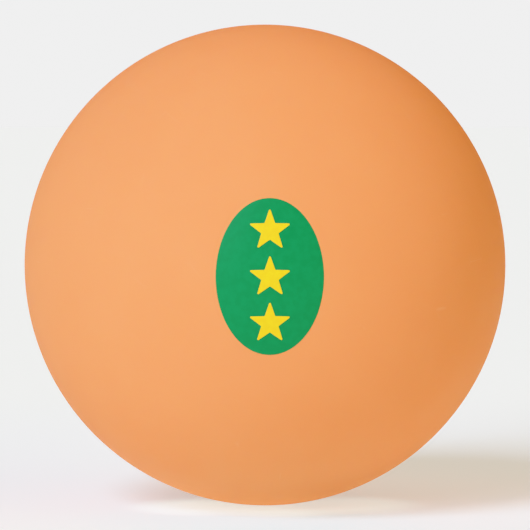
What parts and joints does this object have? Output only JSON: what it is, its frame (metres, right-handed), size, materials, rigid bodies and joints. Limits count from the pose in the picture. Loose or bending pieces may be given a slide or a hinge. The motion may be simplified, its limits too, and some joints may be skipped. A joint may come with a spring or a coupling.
{
  "type": "table tennis ball",
  "caption": "Hollow matt orange playing ball made of two lap-jointed half shells bonded by a ring of cement, with a printed oval panel of stars at one pole.",
  "frame": {"origin": "centre of the ball", "axes": "+Y is normal to the seam plane and runs from the printed half's pole to the plain half's pole, +Z is the upright direction of the print, +X is to the right when the print is read"},
  "size_m": [0.04, 0.0401, 0.04],
  "materials": {
    "orange_shell": "matte",
    "seam_cement": "satin",
    "green_ink": "matte",
    "yellow_ink": "matte"
  },
  "bodies": {
    "root": {"front_half_shell": "orange_shell", "rear_half_shell": "orange_shell", "seam_cement": "seam_cement", "panel_print": "green_ink", "upper_star_print": "yellow_ink", "middle_star_print": "yellow_ink", "lower_star_print": "yellow_ink"}
  },
  "joints": []
}
